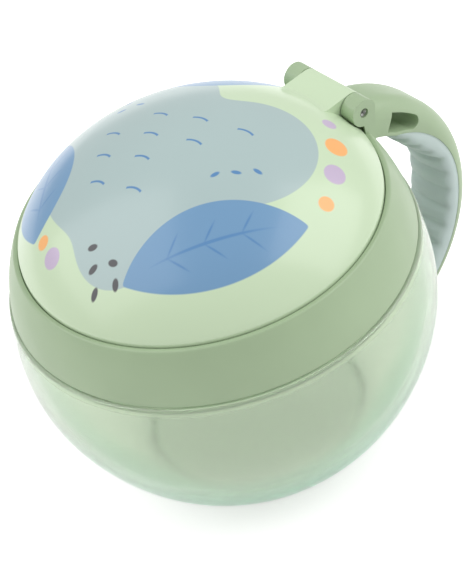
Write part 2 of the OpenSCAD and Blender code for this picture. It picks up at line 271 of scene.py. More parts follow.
@dataclass(frozen=True)
class Steel:
    """The pin's drawn steel wire."""

    name: str = "pin_steel"
    colour: str = "8E908C"
    lines_per_m: float = 9000.0
    line_depth: float = 4e-6
    stretch: float = 0.05
    glossiest: float = 0.22
    dullest: float = 0.38

    def material(self) -> Finish:
        """Make the metal with fine lines along the wire."""
        board = Board(self.name)
        along = board.feed(board.add("ShaderNodeMapping"), Vector=board.place, Scale=(self.stretch, 1.0, 1.0))
        lines = board.noise(self.lines_per_m, 2.0, along.outputs["Vector"])
        roughness = board.spread(lines, self.glossiest, self.dullest)
        board.set(Base_Color=srgb(self.colour), Metallic=1.0, Roughness=roughness)
        board.grain(lines, self.line_depth)
        return board.material


# The lid's printed pattern, in millimetres from the middle and degrees


class Ink(Enum):
    """The colours of the lid's print."""

    POND = "B0C4C3"
    LEAF = "749DC2"
    VEIN = "5C8CBC"
    ORANGE = "FDB872"
    LILAC = "C9B8D2"
    SEED = "4B4B4E"


POND = (((-8, -7), 25), ((10, 9), 19), ((-22, 13), 13), ((7, -26), 12), ((-31, -6), 9))
LEAVES = (((26, -14), 46, 19, 62), ((-29, -23), 36, 16, 130), ((-23, 29), 34, 14, 32))
RIPPLES = ((-14, 2), (-3, 6), (9, 10), (-20, -9), (-9, -5), (3, -1), (-15, -16), (-4, -12), (-9, -23), (2, -20))
DASHES = (((17, 3), 35), ((14, -1), 80), ((20, 7), 10), ((-30, 4), 60), ((-27, 8), 20), ((-33, 8.5), 95))
SEEDS = (((10, -32), 20), ((6, -35.5), 70), ((13.5, -35), 130), ((2.5, -32), 40), ((9.5, -39), 100))
DOTS = (
    ((22, 29), 2.4, Ink.ORANGE),
    ((29, 22), 2.3, Ink.LILAC),
    ((34.5, 14), 1.6, Ink.ORANGE),
    ((14, 34), 1.5, Ink.LILAC),
    ((-41, 9), 1.6, Ink.ORANGE),
    ((-40.5, 2.5), 1.5, Ink.LILAC),
    ((-8, -38), 2.1, Ink.LILAC),
    ((-14, -36), 1.5, Ink.ORANGE),
)


def beside(centre: Point, away: float, turn: float) -> Point:
    """Return the point at this distance from a centre, in the direction of an angle in degrees."""
    a = math.radians(turn)
    return centre[0] + away * math.cos(a), centre[1] + away * math.sin(a)


class LidPrint:
    """A printed pond with leaves, ripples, seeds and dots round it, laid over a moulded finish.

    A rib, a dash and a seed are each an oval, given by its half width and its squeeze.
    """

    blur = 0.12
    pond_melt = 10.0
    leaf_melt = 1.2
    vein_length = 0.8
    vein_width = 0.8
    rib_places = (-0.24, -0.04, 0.16)
    rib_tilt = 48
    rib_away = 0.16
    rib = (0.26, 10.0)
    dash = (0.55, 2.2)
    seed = (0.8, 1.6)
    dot_squeeze = 1.3
    ripple_radius = 4.6
    ripple_width = 0.6
    ripple_toward = 104
    ripple_reach = 2.3

    def __init__(self, gloss: Moulded) -> None:
        """Start from the bare finish."""
        self.gloss = gloss
        self.board = Board(gloss.name)
        self.colour: Colour | Socket = srgb(gloss.colour)

    def ink(self, distance: Socket, which: Ink) -> None:
        """Lay a shape over what is printed so far; the distance to it is negative inside."""
        mask = self.board.spread(distance, 1.0, 0.0, -self.blur, self.blur)
        self.colour = self.board.mix(mask, self.colour, srgb(which.value))

    def seen_from(self, centre: Point, turn: float, squeeze: float = 1.0) -> Socket:
        """Return the flat place on the lid, seen from a centre and turned.

        Args:
            centre: The new middle.
            turn: The angle of the new first axis.
            squeeze: How much longer a shape is along that axis than across it.
        """
        board = self.board
        scaled = board.vector("SCALE", board.place)
        board.feed(scaled.node, Scale=1.0 / MM)
        node = board.feed(
            board.add("ShaderNodeMapping", vector_type="TEXTURE"),
            Vector=board.vector("MULTIPLY", scaled, (1.0, 1.0, 0.0)),
            Location=(*centre, 0.0),
            Rotation=(0.0, 0.0, math.radians(turn)),
            Scale=(squeeze, 1.0, 1.0),
        )
        return node.outputs["Vector"]

    def disc(self, centre: Point, radius: float, squeeze: float = 1.0, turn: float = 0.0) -> Socket:
        """Return the distance to a disc, or to an oval of this radius across."""
        there = self.board.vector("LENGTH", self.seen_from(centre, turn, squeeze), output="Value")
        return self.board.maths("SUBTRACT", there, radius)

    def leaf(self, centre: Point, length: float, width: float, turn: float) -> Socket:
        """Return the distance to a pointed leaf: where two discs overlap."""
        half, rise = length / 2, width / 2
        radius = (half * half + rise * rise) / (2 * rise)
        place = self.seen_from(centre, turn)
        sides = []
        for side in (-1, 1):
            away = self.board.vector("DISTANCE", place, (0.0, side * (radius - rise), 0.0), output="Value")
            sides.append(self.board.maths("SUBTRACT", away, radius))
        return self.board.maths("SMOOTH_MAX", *sides, self.leaf_melt)

    def ripple(self, centre: Point) -> Socket:
        """Return the distance to a short curved stroke: a stretch of a ring round a centre."""
        away = self.board.maths("ABSOLUTE", self.disc(centre, self.ripple_radius))
        ring = self.board.maths("SUBTRACT", away, self.ripple_width / 2)
        middle = beside(centre, self.ripple_radius, self.ripple_toward)
        return self.board.maths("MAXIMUM", ring, self.disc(middle, self.ripple_reach))

    def veined_leaf(self, centre: Point, length: float, width: float, turn: float) -> None:
        """Print a leaf with its long vein and its ribs."""
        self.ink(self.leaf(centre, length, width, turn), Ink.LEAF)
        self.ink(self.leaf(centre, length * self.vein_length, self.vein_width, turn), Ink.VEIN)
        for step in self.rib_places:
            for side in (-1, 1):
                tilt = turn + side * self.rib_tilt
                middle = beside(beside(centre, step * length, turn), self.rib_away * width, tilt)
                self.ink(self.disc(middle, *self.rib, tilt), Ink.VEIN)

    def material(self) -> Finish:
        """Print every shape in order and return the material."""
        pond = self.disc(*POND[0])
        for centre, radius in POND[1:]:
            pond = self.board.maths("SMOOTH_MIN", pond, self.disc(centre, radius), self.pond_melt)
        self.ink(pond, Ink.POND)
        for leaf in LEAVES:
            self.veined_leaf(*leaf)
        for centre in RIPPLES:
            self.ink(self.ripple(centre), Ink.VEIN)
        for centre, turn in DASHES:
            self.ink(self.disc(centre, *self.dash, turn), Ink.VEIN)
        for centre, turn in SEEDS:
            self.ink(self.disc(centre, *self.seed, turn), Ink.SEED)
        for centre, radius, which in DOTS:
            along = math.degrees(math.atan2(centre[1], centre[0])) + 90
            self.ink(self.disc(centre, radius, self.dot_squeeze, along), which)
        self.gloss.dress(self.board, self.colour)
        return self.board.material


# Making shapes, all in millimetres


def facing_out(bm: Shape) -> Shape:
    """Turn all faces of a closed shape outwards and return it."""
    bmesh.ops.recalc_face_normals(bm, faces=bm.faces)
    return bm


def move(bm: Shape, way: Sequence[float]) -> Shape:
    """Move a shape and return it."""
    bmesh.ops.translate(bm, verts=bm.verts, vec=way)
    return bm


def turn(bm: Shape, angle: float, axis: str, centre: Sequence[float] = CENTRE) -> Shape:
    """Turn a shape by an angle in radians about X, Y or Z through a centre and return it."""
    bmesh.ops.rotate(bm, verts=bm.verts, cent=centre, matrix=Matrix.Rotation(angle, 3, axis))
    return bm


def push(bm: Shape, way: Sequence[float]) -> Shape:
    """Push a shape's faces along a way into a closed solid and return it."""
    made = bmesh.ops.extrude_face_region(bm, geom=bm.faces)
    moved = [v for v in made["geom"] if isinstance(v, bmesh.types.BMVert)]
    bmesh.ops.translate(bm, verts=moved, vec=way)
    return facing_out(bm)


def cut_off(bm: Shape, at: Sequence[float], beyond: Sequence[float]) -> Shape:
    """Leave away what lies beyond a plane, close the cut and return the shape."""
    whole = [*bm.verts, *bm.edges, *bm.faces]
    bmesh.ops.bisect_plane(bm, geom=whole, plane_co=at, plane_no=beyond, clear_outer=True)
    bmesh.ops.holes_fill(bm, edges=[e for e in bm.edges if e.is_boundary], sides=0)
    return bm


def merged(shapes: Sequence[Shape]) -> Shape:
    """Gather several shapes in the first one, each still closed by itself."""
    whole = shapes[0]
    for shape in shapes[1:]:
        spare = bpy.data.meshes.new("spare")
        shape.to_mesh(spare)
        shape.free()
        whole.from_mesh(spare)
        bpy.data.meshes.remove(spare)
    return whole


def post(radius: float, z0: float = 40.0, z1: float = 95.0, steps: int = 192) -> Shape:
    """Make an upright round bar on the axis, by default from inside the bowl to above the lid."""
    bm = bmesh.new()
    bmesh.ops.create_cone(bm, cap_ends=True, segments=steps, radius1=radius, radius2=radius, depth=z1 - z0)
    return move(bm, (0.0, 0.0, (z0 + z1) / 2))


def rod(radius: float, x0: float, x1: float, y: float, z: float, steps: int = 64) -> Shape:
    """Make a round bar along X."""
    half = abs(x1 - x0) / 2
    return move(turn(post(radius, -half, half, steps), math.pi / 2, "Y"), ((x0 + x1) / 2, y, z))


def block(low: Vector, high: Vector) -> Shape:
    """Make a box between two corners."""
    bm = bmesh.new()
    bmesh.ops.create_cube(bm, size=1.0)
    bmesh.ops.scale(bm, verts=bm.verts, vec=high - low)
    return move(bm, (low + high) / 2)


class Outline:
    """A line drawn through space step by step."""

    def __init__(self, start: Sequence[float]) -> None:
        """Start the line at a place."""
        self.bm = bmesh.new()
        self.tip = self.bm.verts.new(start)
        self.first = self.tip

    def to(self, *places: Sequence[float]) -> "Outline":
        """Go on with straight lines through these places."""
        for place in places:
            self.tip = bmesh.ops.extrude_vert_indiv(self.bm, verts=[self.tip])["verts"][0]
            self.tip.co = place
        return self

    def swing(self, centre: Sequence[float], axis: Place, angle: float, steps: int) -> "Outline":
        """Go on along a circle.

        Args:
            centre: The circle's centre.
            axis: The direction that it turns about.
            angle: How far it goes, in radians.
            steps: The number of straight pieces.
        """
        made = bmesh.ops.spin(self.bm, geom=[self.tip], cent=centre, axis=axis, angle=angle, steps=steps)
        self.tip = next(v for v in made["geom_last"] if isinstance(v, bmesh.types.BMVert))
        return self

    def close(self) -> "Outline":
        """Join the last place to the first."""
        self.bm.edges.new((self.tip, self.first))
        return self

    def filled(self) -> Shape:
        """Close the line, fill it with a face and return the shape."""
        self.close()
        bmesh.ops.contextual_create(self.bm, geom=self.bm.edges)
        return self.bm


class Section(Outline):
    """A line in the plane through the axis, drawn by distance from the axis and height, and spun into a solid."""

    def __init__(self, start: Point) -> None:
        """Start the line at a point."""
        super().__init__((start[0], 0.0, start[1]))

    def line_to(self, *points: Point) -> "Section":
        """Go on with straight lines through these points."""
        self.to(*((x, 0.0, z) for x, z in points))
        return self

    def arc_to(self, centre: Point, towards: Point, steps: int = 12) -> "Section":
        """Go on along a circle round a centre.

        Args:
            centre: The circle's centre.
            towards: A point that the arc ends in line with, seen from the centre.
            steps: The number of straight pieces.
        """
        x, z = self.tip.co.x - centre[0], self.tip.co.z - centre[1]
        u, w = towards[0] - centre[0], towards[1] - centre[1]
        angle = (math.atan2(u, w) - math.atan2(x, z) + math.pi) % math.tau - math.pi
        self.swing((centre[0], 0.0, centre[1]), BACK, angle, steps)
        return self

    def meet(self, other: "Section") -> "Section":
        """Take over another line that starts on the axis too, and join its end to this one's."""
        merged([self.bm, other.bm])
        self.bm.edges.new([v for v in self.bm.verts if len(v.link_edges) == 1 and v.co.x > 1.0])
        return self

    def revolve(self, steps: int = 192) -> Shape:
        """Spin the line a full turn about the upright axis.

        Args:
            steps: The number of steps in the turn.

        Returns:
            The closed shape.
        """
        line = [*self.bm.verts, *self.bm.edges]
        bmesh.ops.spin(self.bm, geom=line, cent=CENTRE, axis=UP, angle=math.tau, steps=steps, use_merge=True)
        bmesh.ops.remove_doubles(self.bm, verts=self.bm.verts, dist=1e-4)
        return facing_out(self.bm)


def round_edges(bm: Shape, chosen: Callable[[Edge], bool], size: float, segments: int = 3) -> None:
    """Round the edges that a test picks.

    Args:
        bm: The shape.
        chosen: Says of an edge whether it is rounded.
        size: The width of the rounding in the shape's own units.
        segments: The number of strips in it.
    """
    edges = [e for e in bm.edges if chosen(e)]
    bmesh.ops.bevel(
        bm, geom=edges, offset=size, segments=segments, profile=0.5, affect="EDGES", material=-1, clamp_overlap=True
    )


def round_rings(bm: Shape, *rings: tuple[float, float, float, int], near: float = 0.02) -> Shape:
    """Round the edges that lie on level circles round the axis.

    Args:
        bm: The shape.
        rings: The radius, the height, the width of the rounding and its strips, for each circle.
        near: How far from its circle an edge may lie.

    Returns:
        The same shape.
    """
    for radius, height, size, segments in rings:

        def on_ring(edge: Edge, radius: float = radius, height: float = height) -> bool:
            """Say whether both ends lie on the circle."""
            away = (max(abs(math.hypot(v.co.x, v.co.y) - radius), abs(v.co.z - height)) for v in edge.verts)
            return all(gap < near for gap in away)

        round_edges(bm, on_ring, size, segments)
    return bm


def corner(edge: Edge, least: float = 40.0) -> bool:
    """Say whether the faces beside an edge meet at more than this many degrees."""
    return len(edge.link_faces) == 2 and edge.calc_face_angle(0.0) > math.radians(least)


def piece(name: str, bm: Shape, finish: Finish, sharp: float = 38.0) -> bpy.types.Object:
    """Turn a shape into a piece of the scene.

    Args:
        name: The piece's name.
        bm: The shape, which is used up.
        finish: Its material.
        sharp: The angle in degrees from which an edge shows as one.

    Returns:
        The new object, at the origin.
    """
    bmesh.ops.scale(bm, verts=bm.verts, vec=(MM, MM, MM))
    mesh = bpy.data.meshes.new(name)
    bm.to_mesh(mesh)
    bm.free()
    mesh.shade_smooth()
    mesh.set_sharp_from_angle(angle=math.radians(sharp))
    mesh.materials.append(finish)
    made = bpy.data.objects.new(name, mesh)
    bpy.context.scene.collection.objects.link(made)
    return made


def applied(target: bpy.types.Object) -> bpy.types.Object:
    """Make a piece's modifiers part of its mesh and return it."""
    graph = bpy.context.evaluated_depsgraph_get()
    mesh = bpy.data.meshes.new_from_object(target.evaluated_get(graph))
    target.modifiers.clear()
    target.data = mesh
    return target


def carved(target: bpy.types.Object, cutters: Sequence[Shape], operation: str = "DIFFERENCE") -> bpy.types.Object:
    """Cut shapes out of a piece, or join them to it.

    Args:
        target: The piece.
        cutters: The shapes, which are used up.
        operation: DIFFERENCE or UNION.

    Returns:
        The same piece, with the cuts in its mesh.
    """
    tools = [piece("cutter", bm, target.data.materials[0]) for bm in cutters]
    for tool in tools:
        cut = target.modifiers.new("cut", "BOOLEAN")
        cut.operation, cut.solver, cut.object = operation, "EXACT", tool
    applied(target)
    for tool in tools:
        bpy.data.objects.remove(tool)
    return target


def lifted(target: bpy.types.Object) -> Shape:
    """Take a piece back out of the scene as a shape."""
    bm = bmesh.new()
    bm.from_mesh(target.data)
    bmesh.ops.scale(bm, verts=bm.verts, vec=(1 / MM, 1 / MM, 1 / MM))
    bpy.data.objects.remove(target)
    return bm


def eased(target: bpy.types.Object, width: float, angle: float = 40.0, segments: int = 2) -> bpy.types.Object:
    """Round a piece's sharp edges.

    Args:
        target: The piece.
        width: The width of the rounding.
        angle: The angle in degrees from which an edge counts as sharp.
        segments: The number of strips in the rounding.

    Returns:
        The same piece.
    """
    soft = target.modifiers.new("ease", "BEVEL")
    soft.width, soft.segments = width * MM, segments
    soft.limit_method, soft.angle_limit = "ANGLE", math.radians(angle)
    soft.use_clamp_overlap = True
    applied(target)
    target.data.shade_smooth()
    target.data.set_sharp_from_angle(angle=math.radians(angle))
    return target


def place(made: bpy.types.Object, body: str, slot: str, *nodes: str) -> None:
    """Let a piece ride on a body and say which nodes it stands for."""
    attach(made, body)
    if nodes:
        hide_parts(*nodes)
    LOG.info("%s rides on %s: %d faces", made.name, body, len(made.data.polygons))


# The sub-assemblies, all in millimetres and degrees


@dataclass
class Thread:
    """Equal screw ridges round the axis, with sloped flanks and run-out ends; a height below nought points inwards."""

    radius: float
    height: float
    first: float
    sweep: float
    z: float
    starts: int = 3
    lead: float = 7.5
    width: float = 1.0
    crest: float = 0.22
    step: float = 2.5
    run_out: float = 8.0
    least: float = 0.05

    def ridge(self, start: float) -> Shape:
        """Make the ridge that begins at an angle."""
        bm = bmesh.new()
        corners = ((0.0, -0.5), (0.0, 0.5), (1.0, self.crest), (1.0, -self.crest))
        ring = [bm.verts.new((self.radius + self.height * u, 0.0, self.z + self.width * v)) for u, v in corners]
        face = bm.faces.new(ring)
        steps = int(self.sweep / self.step)
        climb = (0.0, 0.0, self.lead * self.sweep / 360.0 / steps)
        angle = math.radians(self.sweep)
        bmesh.ops.spin(bm, geom=[face], cent=CENTRE, axis=UP, dvec=climb, angle=angle, steps=steps)
        for v in bm.verts:
            along = (math.degrees(math.atan2(v.co.y, v.co.x)) % 360.0) / self.sweep
            fade = min(1.0, self.run_out * min(along, max(0.0, 1.0 - along)) + self.least)
            r = math.hypot(v.co.x, v.co.y)
            scale = (self.radius + (r - self.radius) * fade) / r
            v.co.x, v.co.y = v.co.x * scale, v.co.y * scale
        return facing_out(turn(bm, math.radians(start), "Z"))

    def ridges(self) -> Shape:
        """Make all ridges as one shape."""
        return merged([self.ridge(360.0 / self.starts * i + self.first) for i in range(self.starts)])


@dataclass
class Bowl:
    """The clear bowl with its neck and screw thread."""

    finish: Finish
    widest: float = 54.0
    widest_z: float = 44.5
    side: float = 47.0
    lower: float = 60.0
    upper: float = 70.0
    turn_angle: float = 25.0
    crease: float = 1.0
    wall: float = 2.6
    floor: float = 4.0
    foot: float = 4.0
    inner_foot: float = 6.0
    base: float = 29.0
    base_in: float = 0.7
    base_slope: float = 0.8
    shoulder_z: float = 58.5
    shoulder_wall: float = 3.0
    shoulder_round: float = 0.6
    neck: float = 46.0
    neck_wall: float = 2.4
    rim_z: float = 65.8
    rim_round: float = 0.5
    thread_root: float = 0.3
    thread_out: float = 1.05

    def centres(self) -> tuple[Point, Point, Point]:
        """Return the centres of the side's, the lower and the upper curve."""
        side = (self.widest - self.side, self.widest_z)
        a, b = math.radians(self.turn_angle), math.radians(self.turn_angle - self.crease)
        at = (side[0] + self.side * math.cos(a), side[1] - self.side * math.sin(a))
        lower = (at[0] - self.lower * math.cos(b), at[1] + self.lower * math.sin(b))
        return side, lower, (self.widest - self.upper, self.widest_z)

    def reach(self, inset: float, z: float) -> float:
        """Return the radius of the upper curve at a height, moved inwards by an inset."""
        return self.widest - self.upper + math.sqrt((self.upper - inset) ** 2 - (z - self.widest_z) ** 2)

    def rise(self, section: Section, inset: float, floor: float, foot: float, top: float) -> Section:
        """Draw one skin of the wall from its foot up.

        Args:
            section: The line so far, which ends on the floor.
            inset: How far the skin lies inside the outer one.
            floor: The height of the floor it starts on.
            foot: The rounding where it leaves the floor.
            top: The height at which it stops.

        Returns:
            The same line.
        """
        side, lower, upper = self.centres()
        radius = self.lower - inset
        away = math.sqrt((radius - foot) ** 2 - (floor + foot - lower[1]) ** 2)
        bend = (lower[0] + away, floor + foot)
        grow = radius / (radius - foot)
        section.line_to((bend[0], floor))
        section.arc_to(bend, (lower[0] + away * grow, lower[1] + (bend[1] - lower[1]) * grow), 8)
        a = math.radians(self.turn_angle)
        at = (side[0] + (self.side - inset) * math.cos(a), side[1] - (self.side - inset) * math.sin(a))
        section.arc_to(lower, at, 18).arc_to(side, (self.widest, self.widest_z), 18)
        return section.arc_to(upper, (self.reach(inset, top), top), 10)

    def body(self) -> bpy.types.Object:
        """Make the bowl's shell, with a shallow step under the base."""
        neck_in = self.neck - self.neck_wall
        section = Section((0.0, self.base_in)).line_to((self.base, self.base_in), (self.base + self.base_slope, 0.0))
        self.rise(section, 0.0, 0.0, self.foot, self.shoulder_z)
        section.line_to((self.neck, self.shoulder_z), (self.neck, self.rim_z), (neck_in, self.rim_z))
        section.line_to((neck_in, self.shoulder_z - self.shoulder_wall))
        inner = Section((0.0, self.floor))
        self.rise(inner, self.wall, self.floor, self.inner_foot, self.shoulder_z - self.wall)
        bm = round_rings(
            section.meet(inner).revolve(),
            (self.neck, self.rim_z, self.rim_round, 3),
            (neck_in, self.rim_z, self.rim_round, 3),
            (self.reach(0.0, self.shoulder_z), self.shoulder_z, self.shoulder_round, 3),
        )
        return piece("bowl_shell", bm, self.finish, 30.0)

    def build(self) -> None:
        """Build both pieces on the bowl's body."""
        place(self.body(), "bowl", "clear_bowl", "bowl")
        out = self.thread_out + self.thread_root
        thread = Thread(self.neck - self.thread_root, out, first=20.0, sweep=150.0, z=60.6)
        place(piece("bowl_thread", thread.ridges(), self.finish), "bowl", "clear_bowl")


@dataclass
class Hinge:
    """Where the lid turns and how thick its barrels are."""

    y: float = 45.6
    z: float = 79.5
    barrel: float = 3.7
    knuckle: float = 16.4
    width: float = 26.0
    gap: float = 0.3
    pocket: float = 0.4
    pin: float = 1.25
    play: float = 0.05
    sink: float = 0.6
    dish_edge: float = 0.55
    dish: float = 0.5
    pin_round: float = 0.15

    def bar(self, radius: float, x0: float, x1: float, steps: int = 64) -> Shape:
        """Return a round bar on the hinge's axis."""
        return rod(radius, x0, x1, self.y, self.z, steps)

    def bore(self) -> Shape:
        """Return the pin's hole as a bar to cut with."""
        return self.bar(self.pin + self.play, -self.width, self.width, 48)

    def build(self, steel: Finish) -> None:
        """Build the pin with its dished ends."""
        half = self.width / 2 - self.sink
        bm = self.bar(self.pin, -half, half, 48)
        caps = [f for f in bm.faces if len(f.verts) > 4]
        bmesh.ops.inset_region(bm, faces=caps, thickness=self.dish_edge, depth=0.0)
        for cap in caps:
            inwards = -self.dish if cap.calc_center_median().x > 0 else self.dish
            bmesh.ops.translate(bm, verts=cap.verts, vec=(inwards, 0.0, 0.0))
        round_edges(bm, lambda e: corner(e, 50.0) and abs(e.verts[0].co.x) > half - 0.1, self.pin_round, 2)
        place(piece("hinge_wire", bm, steel), "collar", "pin_steel", "hinge_pin")


@dataclass
class Collar:
    """The screw collar with its deck, lip and hinge ears."""

    finish: Finish
    hinge: Hinge
    foot: float = 52.0
    foot_z: float = 58.8
    flank: float = 42.0
    lip: float = 47.4
    lip_z: float = 73.3
    recess: float = 46.2
    deck_z: float = 72.2
    under_z: float = 70.0
    pocket: float = 46.0
    skirt: float = 47.6
    skirt_z: float = 65.8
    mouth: float = 41.5
    stem_z: float = 68.9
    stem_clear: float = 0.4
    taper: float = 2.0
    ear_round: float = 0.9
    edge_round: float = 0.4
    thread_root: float = 0.3
    thread_in: float = 1.05

    def ring(self) -> Shape:
        """Make the turned body of the collar."""
        low, high = Vector((self.foot, self.foot_z)), Vector((self.lip, self.lip_z))
        chord = high - low
        inward = Vector((-chord.y, chord.x)).normalized()
        centre = (low + high) / 2 + inward * math.sqrt(self.flank**2 - (chord.length / 2) ** 2)
        section = Section((self.mouth, self.under_z))
        section.line_to((self.mouth, self.deck_z), (self.recess, self.deck_z), (self.recess, self.lip_z))
        section.line_to((self.lip, self.lip_z)).arc_to((centre.x, centre.y), (self.foot, self.foot_z), 20)
        section.line_to((self.skirt, self.foot_z), (self.skirt, self.skirt_z), (self.pocket, self.skirt_z))
        section.line_to((self.pocket, self.under_z)).close()
        return round_rings(
            section.revolve(),
            (self.foot, self.foot_z, 0.5, 4),
            (self.skirt, self.foot_z, 0.5, 4),
            (self.lip, self.lip_z, 0.4, 4),
            (self.recess, self.lip_z, 0.25, 4),
            (self.mouth, self.deck_z, 0.6, 4),
            (self.mouth, self.under_z, 0.4, 4),
        )

    def stem(self, side: int) -> Shape:
        """Make the stem of one hinge ear: its outline drawn from the side and pushed across.

        Args:
            side: 1 for the ear at +X, -1 for the other.

        Returns:
            The closed stem.
        """
        h = self.hinge
        near, low = side * (h.knuckle / 2 + h.gap), self.stem_z
        front, back = h.y - h.barrel / 2, h.y + h.barrel
        line = Outline((near, front, low)).to((near, back - self.taper, low), (near, back, h.z), (near, front, h.z))
        return push(line.filled(), (side * (h.width / 2) - near, 0.0, 0.0))

    def on_ear(self, edge: Edge) -> bool:
        """Say whether an edge lies round the outer face of an ear, and not round the pin's hole."""
        h = self.hinge
        return corner(edge) and all(
            abs(abs(v.co.x) - h.width / 2) < 0.01 and math.hypot(v.co.y - h.y, v.co.z - h.z) > h.barrel - 0.5
            for v in edge.verts
        )

    def build(self) -> None:
        """Build the collar with its ears and its thread."""
        h = self.hinge
        near = h.knuckle / 2 + h.gap
        stems = piece("stems", merged([self.stem(1), self.stem(-1)]), self.finish)
        carved(stems, [post(self.recess + self.stem_clear)])
        barrels = [h.bar(h.barrel, side * near, side * h.width / 2) for side in (1, -1)]
        made = piece("screw_collar", self.ring(), self.finish)
        carved(made, [lifted(stems), *barrels], "UNION")
        carved(made, [h.bore()])
        bm = lifted(made)
        round_edges(bm, self.on_ear, self.ear_round, 5)
        made = eased(piece("screw_collar", bm, self.finish), self.edge_round, 42.0, 3)
        place(made, "collar", "collar_plastic", "collar")
        out = self.thread_in + self.thread_root
        thread = Thread(self.skirt + self.thread_root, -out, first=80.0, sweep=110.0, z=60.5)
        place(piece("collar_thread", thread.ridges(), self.finish), "collar", "collar_plastic")


@dataclass
class Arc:
    """The line that the handle follows: a circle in the upright plane, with its angles counted from upright."""

    y: float = 38.7
    z: float = 37.4

    def at(self, angle: float, radius: float, x: float = 0.0) -> Vector:
        """Return the point at an angle and a radius."""
        a = math.radians(angle)
        return Vector((x, self.y + radius * math.sin(a), self.z + radius * math.cos(a)))

    def polar(self, point: Vector) -> Point:
        """Return the angle and the radius of a point."""
        y, z = point.y - self.y, point.z - self.z
        return math.degrees(math.atan2(y, z)), math.hypot(y, z)

    def sweep(self, bm: Shape, start: float, end: float, steps: int) -> Shape:
        """Carry the faces in a shape from upright round the arc, and return the closed solid."""
        centre, angle = (0.0, self.y, self.z), -math.radians(end - start)
        turn(bm, -math.radians(start), "X", centre)
        bmesh.ops.spin(bm, geom=list(bm.faces), cent=centre, axis=ACROSS, angle=angle, steps=steps)
        return facing_out(bm)


def smooth(t: float) -> float:
    """Ease from nought to one as t goes from nought to one."""
    t = min(1.0, max(0.0, t))
    return t * t * (3 - 2 * t)


